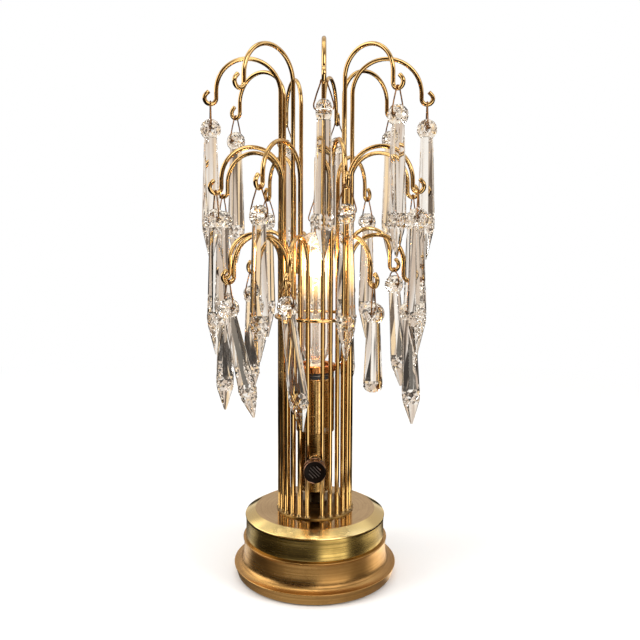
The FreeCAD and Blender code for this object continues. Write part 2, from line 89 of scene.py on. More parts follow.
def reckon(tree, operation, first, second=0.0, clamp=False):
    return addNode(tree, "ShaderNodeMath", {0: first, 1: second}, operation=operation,
                   use_clamp=clamp).outputs[0]


def multiply(tree, first, second):
    return reckon(tree, "MULTIPLY", first, second)


def spread(tree, value, low, high):
    ends = {"Value": value, "From Min": low, "From Max": high}
    node = addNode(tree, "ShaderNodeMapRange", ends, interpolation_type="SMOOTHSTEP")
    return node.outputs["Result"]


def between(tree, value, low, high, soft):
    rising = spread(tree, value, low - soft, low + soft)
    return multiply(tree, rising, spread(tree, value, high + soft, high - soft))


def blendColours(tree, amount, first, second):
    node = addNode(tree, "ShaderNodeMix", {"Factor": amount, "A": first, "B": second},
                   data_type="RGBA")
    return node.outputs["Result"]


def noise(tree, vector, scale, detail=3.0, roughness=0.5):
    inputs = {"Vector": vector, "Scale": scale, "Detail": detail, "Roughness": roughness}
    return addNode(tree, "ShaderNodeTexNoise", inputs).outputs["Fac"]


def onPiece(tree):
    return addNode(tree, "ShaderNodeTexCoord").outputs["Object"]


def splitUp(tree, place):
    return addNode(tree, "ShaderNodeSeparateXYZ", {0: place}).outputs


# Shared by the materials: cloudy tarnish, and the fine rings that a lathe leaves
tarnishLook = {"detail": 4.0, "finer": 5.3, "cloudy": (0.42, 0.66), "speckled": (0.5, 0.72),
               "speckles": 0.6}
ringLook = {"wobble": 1.4, "scale": 1.0, "detail": 5.0, "roughness": 0.65, "lines": (0.38, 0.64)}


def newGroup(name, numbers):
    group = bpy.data.node_groups.new(name, "ShaderNodeTree")
    for label, value in numbers.items():
        socket = group.interface.new_socket(label, in_out="INPUT", socket_type="NodeSocketFloat")
        socket.default_value = value
    group.interface.new_socket("Mask", in_out="OUTPUT", socket_type="NodeSocketFloat")
    return group, group.nodes.new("NodeGroupInput"), group.nodes.new("NodeGroupOutput")


def makeTarnish():
    group, given, result = newGroup("tarnish", {"Scale": 40.0, "Amount": 0.5})
    place, look = onPiece(group), tarnishLook
    fineness = multiply(group, given.outputs["Scale"], look["finer"])
    broad = noise(group, place, given.outputs["Scale"], look["detail"])
    fine = noise(group, place, fineness, look["detail"])
    cloudy = spread(group, broad, *look["cloudy"])
    speckled = spread(group, fine, *look["speckled"])
    both = reckon(group, "MAXIMUM", cloudy, multiply(group, speckled, look["speckles"]))
    mask = multiply(group, both, given.outputs["Amount"])
    group.links.new(mask, result.inputs["Mask"])
    return group


def makeLatheRings():
    group, given, result = newGroup("latheRings", {"Fineness": 900.0, "Amount": 0.5})
    fineness, look = given.outputs["Fineness"], ringLook
    x, y, z = splitUp(group, onPiece(group))
    across = reckon(group, "SQRT", reckon(group, "ADD", reckon(group, "POWER", x, 2.0),
                                          reckon(group, "POWER", y, 2.0)))
    around = reckon(group, "SINE", reckon(group, "ARCTAN2", y, x))
    bent = addNode(group, "ShaderNodeCombineXYZ", {
        "X": multiply(group, across, fineness), "Y": multiply(group, z, fineness),
        "Z": multiply(group, around, look["wobble"])})
    lines = noise(group, bent.outputs[0], look["scale"], look["detail"], look["roughness"])
    mask = multiply(group, spread(group, lines, *look["lines"]), given.outputs["Amount"])
    group.links.new(mask, result.inputs["Mask"])
    return group


tarnish = makeTarnish()
latheRings = makeLatheRings()

# What tarnish, rings, grain, coat and clouds do to a surface. Depths are in metres
marks = {
    "metalWear": 0.14, "ringWear": 0.12, "ringStrength": 0.25, "ringDepth": 0.00006,
    "plainWear": 0.15, "grainScale": 1800.0, "grainDetail": 4.0, "grainDepth": 0.0003,
    "coatRoughness": 0.08, "glassScale": 30.0, "glassClouds": (0.3, 0.7),
}


def newMaterial(name):
    material = bpy.data.materials.new(name)
    material.use_nodes = True
    return material, material.node_tree, material.node_tree.nodes["Principled BSDF"]


def useGroup(tree, group, **numbers):
    return addNode(tree, "ShaderNodeGroup", numbers, node_tree=group).outputs["Mask"]


def addWear(tree, roughness, mask, share):
    return reckon(tree, "ADD", multiply(tree, mask, share), roughness)


def bump(tree, shader, height, strength, distance):
    inputs = {"Height": height, "Strength": strength, "Distance": distance}
    node = addNode(tree, "ShaderNodeBump", inputs)
    tree.links.new(node.outputs["Normal"], shader.inputs["Normal"])


def metal(name, bright, dull, rough, worn=0.5, scale=40.0, rings=0.0, fineness=900.0, brushed=0.0):
    material, tree, shader = newMaterial(name)
    shader.inputs["Metallic"].default_value = 1.0
    mask = useGroup(tree, tarnish, Scale=scale, Amount=worn)
    tone = blendColours(tree, mask, bright, dull)
    roughness = addWear(tree, rough, mask, marks["metalWear"])
    if rings:
        lines = useGroup(tree, latheRings, Fineness=fineness, Amount=rings)
        tone = blendColours(tree, lines, tone, dull)
        roughness = addWear(tree, roughness, lines, marks["ringWear"])
        bump(tree, shader, lines, marks["ringStrength"], marks["ringDepth"])
    tree.links.new(tone, shader.inputs["Base Color"])
    tree.links.new(roughness, shader.inputs["Roughness"])
    if brushed:
        shader.inputs["Anisotropic"].default_value = brushed
        around = addNode(tree, "ShaderNodeTangent", direction_type="RADIAL", axis="Z")
        tree.links.new(around.outputs[0], shader.inputs["Tangent"])
    return material


def plain(name, light, dark, rough, scale=60.0, worn=0.6, grain=0.0, coat=0.0, gloss=0.5):
    material, tree, shader = newMaterial(name)
    mask = useGroup(tree, tarnish, Scale=scale, Amount=worn)
    tree.links.new(blendColours(tree, mask, light, dark), shader.inputs["Base Color"])
    tree.links.new(addWear(tree, rough, mask, marks["plainWear"]), shader.inputs["Roughness"])
    shader.inputs["Specular IOR Level"].default_value = gloss
    if coat:
        shader.inputs["Coat Weight"].default_value = coat
        shader.inputs["Coat Roughness"].default_value = marks["coatRoughness"]
    if grain:
        pits = noise(tree, onPiece(tree), marks["grainScale"], marks["grainDetail"])
        bump(tree, shader, pits, grain, marks["grainDepth"])
    return material


def glass(name, tint, bend):
    material, tree, shader = newMaterial(name)
    cloudy = spread(tree, noise(tree, onPiece(tree), marks["glassScale"]), *marks["glassClouds"])
    tree.links.new(blendColours(tree, cloudy, tint, (1.0, 1.0, 1.0)), shader.inputs["Base Color"])
    shader.inputs["Metallic"].default_value = 0.0
    shader.inputs["Transmission Weight"].default_value = 1.0
    shader.inputs["Roughness"].default_value = 0.0
    shader.inputs["IOR"].default_value = bend
    return material


# A metal is its bright and its dull tone, how rough it is, how worn, and how fine its tarnish;
# where it was turned, how strong and how fine its rings are; and last how far it is brushed
metals = {
    "wireBrass": ((0.82, 0.55, 0.24), (0.40, 0.225, 0.075), 0.045, 0.5, 24.0),
    "solder": ((0.44, 0.29, 0.12), (0.18, 0.11, 0.04), 0.26, 0.5, 300.0),
    # The rod disc is painted dark as the shade along the rods' feet, with tarnish clouds as well
    "paintedShadeBrass": ((0.30, 0.19, 0.07), (0.10, 0.06, 0.02), 0.3, 0.6, 80.0),
    "columnBrass": ((0.52, 0.34, 0.13), (0.20, 0.11, 0.035), 0.2, 0.6, 26.0, 0.3, 1500.0, 0.3),
    "stemSteel": ((0.13, 0.09, 0.045), (0.04, 0.028, 0.015), 0.3, 0.5, 90.0),
    "plateBrass": ((0.80, 0.58, 0.30), (0.48, 0.31, 0.14), 0.10, 0.35, 30.0, 0.3, 1400.0, 0.3),
    "drumBrass": ((0.62, 0.45, 0.16), (0.20, 0.13, 0.03), 0.18, 0.6, 34.0, 0.55, 1100.0, 0.4),
    "footBrass": ((0.70, 0.42, 0.155), (0.34, 0.175, 0.055), 0.25, 0.55, 26.0, 0.45, 1200.0, 0.4),
    "socketBrass": ((0.84, 0.56, 0.25), (0.32, 0.17, 0.05), 0.16, 0.6, 70.0, 0.4, 1500.0, 0.3),
    "copperRim": ((0.88, 0.40, 0.15), (0.40, 0.15, 0.05), 0.2, 0.5, 80.0, 0.3, 1500.0),
    "knobBronze": ((0.32, 0.18, 0.12), (0.08, 0.04, 0.025), 0.16, 0.6, 120.0),
    "pinBronze": ((0.36, 0.18, 0.07), (0.10, 0.045, 0.02), 0.28, 0.7, 200.0),
    "steel": ((0.52, 0.50, 0.48), (0.22, 0.19, 0.17), 0.28, 0.5, 90.0),
    "aluminium": ((0.80, 0.80, 0.79), (0.55, 0.54, 0.52), 0.3, 0.5, 90.0, 0.3, 1500.0),
}
# What isn't metal is its light and its dark tone, how rough, how fine its clouds, how worn, and
# how strong its grain, its coat and its gloss are
plains = {
    "castIron": ((0.10, 0.10, 0.10), (0.04, 0.035, 0.03), 0.6, 60.0, 0.8, 0.6),
    "felt": ((0.055, 0.10, 0.06), (0.03, 0.055, 0.035), 0.9, 400.0, 0.7, 1.0),
    "blackPlastic": ((0.03, 0.03, 0.032), (0.012, 0.012, 0.012), 0.35),
    "knobPlastic": ((0.006, 0.0035, 0.0025), (0.002, 0.0012, 0.001), 0.3, 60.0, 0.6, 0.0, 0.0,
                    0.06),
    # Lighter tone for the knob's ribs: a painted highlight, as the ribs are the same plastic as
    # the face
    "paintedHighlightPlastic": ((0.075, 0.055, 0.045), (0.012, 0.008, 0.006), 0.3, 260.0),
    "porcelain": ((0.80, 0.78, 0.73), (0.62, 0.58, 0.50), 0.15, 60.0, 0.3, 0.0, 0.6),
}
# Glass is its tint and how strongly it bends light
glasses = {
    "drilledBore": ((0.985, 0.985, 0.98), 1.55), "crystal": ((0.985, 0.985, 0.98), 1.55),
    "bulbGlass": ((1.0, 0.995, 0.985), 1.45),
}
hotWire = {"scale": 400.0, "patches": (0.3, 0.7), "hot": (1.0, 0.55, 0.2),
           "hotter": (1.0, 0.72, 0.38), "strength": 60.0}
# The bulb's glow fades at both ends, at heights in metres, and towards its outline
bulbGlow = {"lowEnd": (0.194, 0.214), "highEnd": (0.238, 0.216), "edge": 0.5, "face": (0.8, 0.1),
            "dim": (0.07, 0.06, 0.05), "lit": (1.0, 0.64, 0.26), "strength": 0.5}
# Painted light and shade: a painted highlight on the plate's chamfer below a height, a painted
# brighter plate in the rods' reflections, and painted shade inside the drilled holes
paintedLightShade = {"chamferTop": 46.9, "chamferFade": 0.15, "chamfer": (0.90, 0.70, 0.32),
         "paintedPlateReflection": (0.97, 0.90, 0.70), "paintedBoreShade": (0.02, 0.006, 0.001)}


def makeHotWire():
    material, tree, shader = newMaterial("filamentGlow")
    heat = spread(tree, noise(tree, onPiece(tree), hotWire["scale"]), *hotWire["patches"])
    tone = blendColours(tree, heat, hotWire["hot"], hotWire["hotter"])
    tree.links.new(tone, shader.inputs["Emission Color"])
    tree.links.new(tone, shader.inputs["Base Color"])
    shader.inputs["Emission Strength"].default_value = hotWire["strength"]
    return material


def lightUpBulb(material):
    tree = material.node_tree
    shader = tree.nodes["Principled BSDF"]
    height = splitUp(tree, onPiece(tree))[2]
    edge = addNode(tree, "ShaderNodeLayerWeight", {"Blend": bulbGlow["edge"]})
    ends = multiply(tree, spread(tree, height, *bulbGlow["lowEnd"]),
                    spread(tree, height, *bulbGlow["highEnd"]))
    glow = multiply(tree, ends, spread(tree, edge.outputs["Facing"], *bulbGlow["face"]))
    tree.links.new(blendColours(tree, glow, bulbGlow["dim"], bulbGlow["lit"]),
                   shader.inputs["Emission Color"])
    shader.inputs["Emission Strength"].default_value = bulbGlow["strength"]


# These three paint light and shade into a base colour: by a mask, below a height, and for one kind
# of ray
def paintLightShadeWhere(material, mask, tint):
    tree = material.node_tree
    base = tree.nodes["Principled BSDF"].inputs["Base Color"]
    tree.links.new(blendColours(tree, mask, base.links[0].from_socket, tint), base)


def paintHighlightBelow(material, height, fade, tint):
    tree = material.node_tree
    below = spread(tree, splitUp(tree, onPiece(tree))[2], height * mm, (height - fade) * mm)
    paintLightShadeWhere(material, below, tint)


def paintLightShadeForRays(material, kind, tint):
    paintLightShadeWhere(material, addNode(material.node_tree, "ShaderNodeLightPath").outputs[kind], tint)


finishes = {"filament": makeHotWire()}
for makeFinish, looks in ((metal, metals), (plain, plains), (glass, glasses)):
    for name, look in looks.items():
        finishes[name] = makeFinish(name, *look)
lightUpBulb(finishes["bulbGlass"])
# The plate's chamfer is painted brighter and more golden below its top edge: a painted highlight
paintHighlightBelow(finishes["plateBrass"], paintedLightShade["chamferTop"], paintedLightShade["chamferFade"], paintedLightShade["chamfer"])
# The plate is painted paler and brighter where the rods mirror it: a painted reflection
paintLightShadeForRays(finishes["plateBrass"], "Is Glossy Ray", paintedLightShade["paintedPlateReflection"])
# A drilled hole is painted dark as shade when the camera looks at it, yet stays clear through the
# crystal round it
paintLightShadeForRays(finishes["drilledBore"], "Is Camera Ray", paintedLightShade["paintedBoreShade"])
print("materials made")


# Small helpers for making pieces. Their dictionaries are in millimetres
def startPiece():
    if bpy.context.object and bpy.context.object.mode != "OBJECT":
        bpy.ops.object.mode_set(mode="OBJECT")
    bpy.ops.object.select_all(action="DESELECT")


def pickOut(piece):
    startPiece()
    piece.select_set(True)
    bpy.context.view_layer.objects.active = piece


def settle(piece):
    pickOut(piece)
    bpy.ops.object.transform_apply(location=True, rotation=True, scale=True)
    return piece


def finishPiece(piece, name, finish, body, nodes=()):
    piece.name = name
    piece.data.name = name
    piece.data.materials.clear()
    piece.data.materials.append(finishes[finish])
    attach(piece, body)
    if nodes:
        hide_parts(*nodes)


def applyModifier(piece, modifier):
    bpy.context.view_layer.objects.active = piece
    bpy.ops.object.modifier_apply(modifier=modifier.name)


def bevelEdges(piece, width, angle, steps):
    bevel = piece.modifiers.new("softEdges", "BEVEL")
    bevel.width = width * mm
    bevel.segments = steps
    bevel.limit_method = "ANGLE"
    bevel.angle_limit = math.radians(angle)
    applyModifier(piece, bevel)


def smoothEdges(piece, softEdge=0.0, angle=35, steps=2):
    if softEdge:
        bevelEdges(piece, softEdge, angle, steps)
    pickOut(piece)
    bpy.ops.object.shade_smooth_by_angle(angle=math.radians(angle))


def addWall(piece, thickness):
    wall = piece.modifiers.new("wall", "SOLIDIFY")
    wall.thickness = thickness * mm
    wall.offset = -1
    applyModifier(piece, wall)
    smoothEdges(piece)


def combine(piece, other, operation):
    joint = piece.modifiers.new("cut", "BOOLEAN")
    joint.operation = operation
    joint.solver = "EXACT"
    joint.object = other
    applyModifier(piece, joint)
    bpy.data.objects.remove(other)


def makeDrill(shape, **place):
    startPiece()
    bpy.ops.mesh.primitive_cylinder_add(
        vertices=shape["holeSides"], radius=shape["hole"] * mm, depth=shape["holeDepth"] * mm,
        **place)
    return bpy.context.object


def joinPieces(pieces):
    startPiece()
    for piece in pieces:
        piece.select_set(True)
    bpy.context.view_layer.objects.active = pieces[0]
    if len(pieces) > 1:
        bpy.ops.object.join()
    return bpy.context.object


def copyPiece(piece):
    copy = piece.copy()
    copy.data = piece.data.copy()
    bpy.context.collection.objects.link(copy)
    return copy


def closeUp(weld=0.0):
    bpy.ops.mesh.select_all(action="SELECT")
    if weld:
        bpy.ops.mesh.remove_doubles(threshold=weld * mm)
    bpy.ops.mesh.normals_make_consistent(inside=False)
    bpy.ops.object.mode_set(mode="OBJECT")


def startRing(sides, radius, place, **more):
    startPiece()
    bpy.ops.mesh.primitive_circle_add(vertices=sides, radius=radius * mm, location=place, **more)
    piece = settle(bpy.context.object)
    bpy.ops.object.mode_set(mode="EDIT")
    bpy.ops.mesh.select_all(action="SELECT")
    return piece


def drawOut(way):
    bpy.ops.mesh.extrude_region_move(TRANSFORM_OT_translate={"value": way})


# A profile is a list of rings, each its radius and height
def turnPiece(rings, sides=144, softEdge=0.0, closed=False, angle=35):
    poleRadius, weld = 0.004, 0.009
    path = [(max(radius, poleRadius), height) for radius, height in rings]
    if closed:
        path.append(path[0])
    radius, height = path[0]
    piece = startRing(sides, radius, (0, 0, height * mm))
    for nextRadius, nextHeight in path[1:]:
        bpy.ops.mesh.extrude_edges_move(
            TRANSFORM_OT_translate={"value": (0, 0, (nextHeight - height) * mm)})
        scale = nextRadius / radius
        bpy.ops.transform.resize(value=(scale, scale, 1), center_override=(0, 0, nextHeight * mm))
        radius, height = nextRadius, nextHeight
    closeUp(weld)
    smoothEdges(piece, softEdge, angle)
    return piece


def arcRings(centre, radius, start, end, steps):
    angles = [math.radians(start + (end - start) * step / steps) for step in range(steps + 1)]
    return [(centre[0] + radius * math.cos(angle), centre[1] + radius * math.sin(angle))
            for angle in angles]


# Base
base = {
    "foot": [(47.6, 1.0), (54.6, 1.0), *arcRings((55.0, 1.9), 0.9, -90, -10, 3),
             (57.0, 5.2), (57.6, 7.4), *arcRings((57.75, 8.35), 0.45, -20, 110, 5),
             (56.4, 8.95), (54.4, 9.6), (53.0, 10.4), (52.2, 11.6), (51.6, 13.6), (51.2, 16.5),
             (51.05, 20.0), (51.1, 23.5), (51.25, 25.2),
             *arcRings((51.3, 26.35), 0.45, -60, 100, 5), (47.6, 26.8)],
    "drum": [(48.3, 26.8), (49.9, 26.8), (49.85, 28.5), (49.7, 31.0), (49.55, 34.5),
             (49.6, 38.0), (49.8, 40.6), (49.9, 42.3), (48.3, 42.3)],
    "drumEdge": 0.15,
    "plate": [(5.2, 42.3), (49.4, 42.3), *arcRings((49.7, 42.75), 0.5, -80, 50, 4),
              (42.95, 46.9), (42.7, 47.0), (5.2, 47.0)],
    "plateAngle": 12,
    "rodDisc": [(5.2, 47.0), (27.4, 47.0), (27.4, 47.8), (27.1, 48.0), (5.2, 48.0)],
    "feltPad": [(0, 0.0), (53.7, 0.0), (54.0, 0.3), (54.0, 0.8), (53.8, 1.0), (0, 1.0)],
    "feltSides": 96,
}


def makeBase():
    foot = turnPiece(base["foot"], closed=True)
    finishPiece(foot, "foot", "footBrass", "stand", ["base_foot"])
    drum = turnPiece(base["drum"], softEdge=base["drumEdge"], closed=True)
    finishPiece(drum, "drum", "drumBrass", "stand", ["base_drum"])
    plate = turnPiece(base["plate"], closed=True, angle=base["plateAngle"])
    finishPiece(plate, "plate", "plateBrass", "stand", ["top_plate"])
    disc = turnPiece(base["rodDisc"], closed=True)
    # The disc's dark brass is painted shade at the rods' feet
    finishPiece(disc, "rodDisc", "paintedShadeBrass", "stand", ["rod_disc"])
    pad = turnPiece(base["feltPad"], base["feltSides"])
    finishPiece(pad, "feltPad", "felt", "stand", ["felt_pad"])


# Threaded stem, and column with its hole for the collar
stem = {"bore": 3.4, "radius": 5.0, "root": 4.55, "end": 4.6, "low": 1.2, "threadLow": 47.0,
        "threadHigh": 63.0, "pitch": 1.0, "chamfer": 0.4, "sides": 40}
column = {
    "profile": [(5.05, 60.5), (10.9, 60.5), (11.4, 61.0), (11.4, 63.4), (11.15, 63.7),
                (11.15, 64.3), (11.4, 64.6), (11.4, 103.0), (10.4, 103.0), (10.4, 62.0),
                (5.05, 62.0)],
    "sides": 96, "hole": 4.65, "holeSides": 48, "holeDepth": 10, "holePlace": (0, -11, 84.2),
}


def makeStem():
    bore, low, high, pitch = stem["bore"], stem["low"], stem["threadHigh"], stem["pitch"]
    rings = [(bore, low), (stem["end"], low), (stem["radius"], low + stem["chamfer"]),
             (stem["radius"], stem["threadLow"])]
    height = stem["threadLow"]
    while height < high - pitch:
        rings += [(stem["root"], height + 0.5 * pitch), (stem["radius"], height + pitch)]
        height += pitch
    rings += [(stem["end"], high), (bore, high)]
    finishPiece(turnPiece(rings, stem["sides"], closed=True), "threadedStem", "stemSteel",
                "stand", ["threaded_stem"])


def makeColumn():
    tube = turnPiece(column["profile"], column["sides"], closed=True)
    drill = makeDrill(column, location=Vector(column["holePlace"]) * mm,
                      rotation=(math.radians(90), 0, 0))
    combine(tube, drill, "DIFFERENCE")
    smoothEdges(tube)
    finishPiece(tube, "column", "columnBrass", "stand", ["column"])


# Lamp holder
holder = {
    "shell": [(12.9, 103.0), (13.4, 103.2), (13.6, 103.7), (13.6, 104.2), (13.6, 107.6),
              (13.6, 116.0), (13.45, 116.2), (13.45, 116.8), (13.6, 117.0), (13.6, 140.6),
              (13.5, 141.6), (13.2, 142.0), (12.85, 142.0)],
    "shellSides": 120, "wall": 0.8, "ventLow": 104.2, "ventHigh": 107.6, "ventCount": 6,
    "ventHalf": 6,
    "liner": [(11.75, 122.0), (12.75, 122.0), (12.75, 142.0), (13.3, 142.2), (13.3, 144.3),
              (12.9, 144.5), (12.9, 145.2), (13.3, 145.4), (13.3, 146.5), (12.8, 146.6),
              (11.75, 146.6)],
    "washer": [(12.9, 144.55), (13.5, 144.6), (13.55, 144.85), (13.5, 145.1), (12.9, 145.15)],
    "rim": [(10.6, 146.6), (13.9, 146.6), *arcRings((13.9, 147.1), 0.5, -80, 0, 3),
            *arcRings((13.5, 150.6), 0.9, 0, 90, 5), (11.5, 151.4),
            *arcRings((11.4, 150.6), 0.8, 90, 180, 4)],
    "sides": 96,
}


def cutVents(shell):
    step = 360 / holder["ventCount"]
    bpy.ops.object.mode_set(mode="EDIT")
    bpy.ops.mesh.select_mode(type="FACE")
    bpy.ops.mesh.select_all(action="DESELECT")
    bpy.ops.object.mode_set(mode="OBJECT")
    for face in shell.data.polygons:
        x, y, z = face.center / mm
        azimuth = math.degrees(math.atan2(x, -y)) % step
        face.select = (abs(azimuth - step / 2) < holder["ventHalf"]
                       and holder["ventLow"] < z < holder["ventHigh"])
    bpy.ops.object.mode_set(mode="EDIT")
    bpy.ops.mesh.delete(type="FACE")
    bpy.ops.mesh.select_mode(type="VERT")
    bpy.ops.object.mode_set(mode="OBJECT")


def makeHolder():
    shell = turnPiece(holder["shell"], holder["shellSides"])
    cutVents(shell)
    addWall(shell, holder["wall"])
    finishPiece(shell, "socketShell", "socketBrass", "stand", ["socket_shell"])
    liner = turnPiece(holder["liner"], holder["sides"], closed=True)
    finishPiece(liner, "socketLiner", "blackPlastic", "stand", ["socket_liner"])
    washer = turnPiece(holder["washer"], holder["sides"], closed=True)
    finishPiece(washer, "linerWasher", "steel", "stand")
    rim = turnPiece(holder["rim"], holder["sides"], closed=True)
    finishPiece(rim, "copperRim", "copperRim", "stand", ["rim_ring"])


makeBase()
makeStem()
makeColumn()
makeHolder()
print("base and holder made")

# Knob: turned upright, then laid forwards. A rib is its offset and its half length
knob = {
    "height": 84.2, "back": 29.0, "sides": 72,
    "rim": [(7.2, 0.0), (7.4, 0.0), (7.8, 0.5), (7.8, 2.0), (7.55, 2.3), (7.55, 2.8), (7.8, 3.1),
            (7.8, 8.0), (7.7, 8.4), (7.5, 8.6), (7.3, 8.5), (7.2, 8.2)],
    "face": [(2.05, 0.0), (7.2, 0.0), (7.2, 8.0), (6.8, 8.1), (6.1, 7.7), (0, 7.6)],
    "ribs": [(-3.6, 2.2), (-1.8, 3.6), (0.0, 4.2), (1.8, 3.6), (3.6, 2.2)],
    "ribWidth": 0.5, "ribDepth": 1.2, "ribLevel": 7.95, "ribEdge": 0.25, "edgeSteps": 3,
    "ribSlope": 45,
    "collar": [(2.05, 0.0), (4.6, 0.0), (4.6, 2.6), (4.1, 2.9), (4.1, 3.4), (4.6, 3.7),
               (4.6, 5.9), (4.2, 6.4), (2.05, 6.4)],
    "collarBack": 8.6, "collarSides": 48,
}


def layForwards(piece, back):
    place = Matrix.Translation((0, -back * mm, knob["height"] * mm))
    piece.matrix_world = place @ Matrix.Rotation(math.radians(90), 4, "X")
    return settle(piece)


def makeRib(offset, half):
    startPiece()
    bpy.ops.mesh.primitive_cube_add(size=1)
    rib = bpy.context.object
    rib.scale = (2 * half * mm, knob["ribWidth"] * mm, knob["ribDepth"] * mm)
    turn = Matrix.Rotation(math.radians(-knob["ribSlope"]), 4, "Z")
    lift = Matrix.Translation((0, offset * mm, knob["ribLevel"] * mm))
    rib.matrix_world = turn @ lift @ rib.matrix_basis
    settle(rib)
    smoothEdges(rib, knob["ribEdge"], steps=knob["edgeSteps"])
    return rib


def makeKnob():
    rim = layForwards(turnPiece(knob["rim"], knob["sides"], closed=True), knob["back"])
    finishPiece(rim, "knobRim", "knobBronze", "knob", ["knob_rim"])
    face = layForwards(turnPiece(knob["face"], knob["sides"]), knob["back"])
    finishPiece(face, "knobFace", "knobPlastic", "knob", ["knob_face"])
    ribs = layForwards(joinPieces([makeRib(*rib) for rib in knob["ribs"]]), knob["back"])
    # The ribs are painted lighter than the face: a painted highlight
    finishPiece(ribs, "knobRibs", "paintedHighlightPlastic", "knob")
    collar = turnPiece(knob["collar"], knob["collarSides"], closed=True)
    finishPiece(layForwards(collar, knob["collarBack"]), "switchCollar", "socketBrass",
                "stand", ["switch_collar"])


makeKnob()
print("knob made")

# Bulb
bulb = {
    "tube": [(6.4, 149.5), (6.4, 151.5), (6.9, 154.0), (8.6, 157.2), (10.9, 160.2),
             (12.1, 162.8), (12.5, 166.0), (12.5, 200.0), (12.5, 233.0)],
    "domeSteps": 11, "top": 246.0, "sides": 72, "wall": 0.6,
    "contact": [(0, 124.5), (2.2, 124.5), (2.5, 124.9), (2.5, 126.6), (4.6, 127.2)],
    "threadLow": 127.6, "threadStep": 0.42, "threadRings": 45, "threadRadius": 6.2,
    "threadDepth": 0.3, "threadPitch": 3.2,
    "skirt": [(6.5, 147.0), (6.5, 149.5), (0, 149.5)], "capSides": 48,
    "mount": [(0, 149.5), (5.2, 149.5), (4.2, 153.0), (3.0, 158.0), (2.4, 166.0), (2.2, 182.0),
              (2.6, 184.0), (2.0, 186.5), (0, 187.2)], "mountSides": 32,
}
filament = {
    "turns": 10, "half": 1.9, "low": 206.5, "rise": 30.5, "sway": 0.5, "wire": 0.33,
    "start": (-1.5, 0, 204.0), "end": (3.6, 0, 238.6), "leadWire": 0.3,
    "leads": [[(-1.5, 0, 183.0), (-1.6, 0, 192.0), (-1.5, 0, 204.2)],
              [(1.5, 0, 183.0), (4.6, 0, 192.0), (5.2, 0, 215.0), (5.0, 0, 234.0),
               (3.4, 0, 238.6)]],
}


def makeBulb():
    rings, steps = list(bulb["tube"]), bulb["domeSteps"]
    radius, springing = rings[-1]
    for step in range(1, steps + 1):
        angle = math.radians(90 * step / steps)
        rings.append((radius * math.cos(angle),
                      springing + (bulb["top"] - springing) * math.sin(angle)))
    tube = turnPiece(rings, bulb["sides"])
    addWall(tube, bulb["wall"])
    finishPiece(tube, "bulbGlass", "bulbGlass", "bulb", ["bulb_glass"])
    threads = list(bulb["contact"])
    for step in range(bulb["threadRings"]):
        height = bulb["threadLow"] + bulb["threadStep"] * step
        wave = math.cos(2 * math.pi * (height - bulb["threadLow"]) / bulb["threadPitch"])
        threads.append((bulb["threadRadius"] + bulb["threadDepth"] * wave, height))
    cap = turnPiece(threads + bulb["skirt"], bulb["capSides"])
    finishPiece(cap, "bulbCap", "aluminium", "bulb", ["bulb_cap"])
    mount = turnPiece(bulb["mount"], bulb["mountSides"])
    finishPiece(mount, "glassMount", "bulbGlass", "bulb")


wireShape = {"roundness": 2, "steps": 6, "smooth": 50}


def wireThrough(name, points, radius, closed=False):
    startPiece()
    curve = bpy.data.curves.new(name, "CURVE")
    curve.dimensions = "3D"
    curve.bevel_depth = radius * mm
    curve.bevel_resolution = wireShape["roundness"]
    curve.resolution_u = wireShape["steps"]
    curve.use_fill_caps = True
    spline = curve.splines.new("BEZIER")
    spline.bezier_points.add(len(points) - 1)
    for knot, point in zip(spline.bezier_points, points):
        knot.co = Vector(point) * mm
        knot.handle_left_type = knot.handle_right_type = "AUTO"
    spline.use_cyclic_u = closed
    wire = bpy.data.objects.new(name, curve)
    bpy.context.collection.objects.link(wire)
    pickOut(wire)
    bpy.ops.object.convert(target="MESH")
    bpy.ops.object.shade_smooth_by_angle(angle=math.radians(wireShape["smooth"]))
    return bpy.context.object


def makeFilament():
    turns, half = filament["turns"], filament["half"]
    zigzag = [((-half, half)[turn % 2], filament["sway"] * math.sin(turn),
               filament["low"] + filament["rise"] * turn / turns) for turn in range(turns + 1)]
    glow = wireThrough("filament", [filament["start"], *zigzag, filament["end"]], filament["wire"])
    finishPiece(glow, "filament", "filament", "bulb", ["filament"])
    leads = [wireThrough("lead", points, filament["leadWire"]) for points in filament["leads"]]
    finishPiece(joinPieces(leads), "leadWires", "steel", "bulb")


makeBulb()
makeFilament()
print("bulb made")

# Rods. The frame's hinges say where the prisms hang, and so where the hooks are
rodShape = {
    "radius": 1.5, "sides": 12, "count": 27, "cage": 25.4, "foot": 48.0, "gap": 23.0,
    "step": 12.96, "archSteps": 22, "hang": 27.5, "hook": 4.0, "hookTurn": 225, "hookSteps": 16,
    "tip": 2.6, "edge": 0.3,
}
tiers = ("top", "middle", "lower")
emptyHook = {"tier": "top", "place": 24, "azimuth": 320.0, "reach": 74.5, "peak": 368.0,
             "prism": ""}
pinLengths = {"prism_lower_2": 21.0, "prism_lower_3": 10.0, "prism_lower_9": 11.5}
usualPin = 16.5
hoop = {"wire": 1.25, "sides": 12, "radius": 28.17, "height": 185.6, "steps": 120, "weld": 0.01}


def readHangers():
    found = []
    for joint in frame["joints"]:
        prism = joint["child"]
        if joint["type"] != "hinge" or not prism.startswith("prism"):
            continue
        tier, number = prism.split("_")[1:]
        x, y, z = (value / mm for value in joint["pos_m"])
        length = pinLengths.get(prism, usualPin)
        found.append({
            "prism": prism, "tier": tier,
            "place": (int(number) - 1) * len(tiers) + tiers.index(tier),
            "azimuth": math.degrees(math.atan2(x, -y)), "reach": math.hypot(x, y),
            "peak": z + rodShape["hook"] + length + rodShape["hang"],
            "pinLength": length, "hole": -Vector(joint["axis"]), "pin": Vector((x, y, z))})
    return found + [emptyHook]


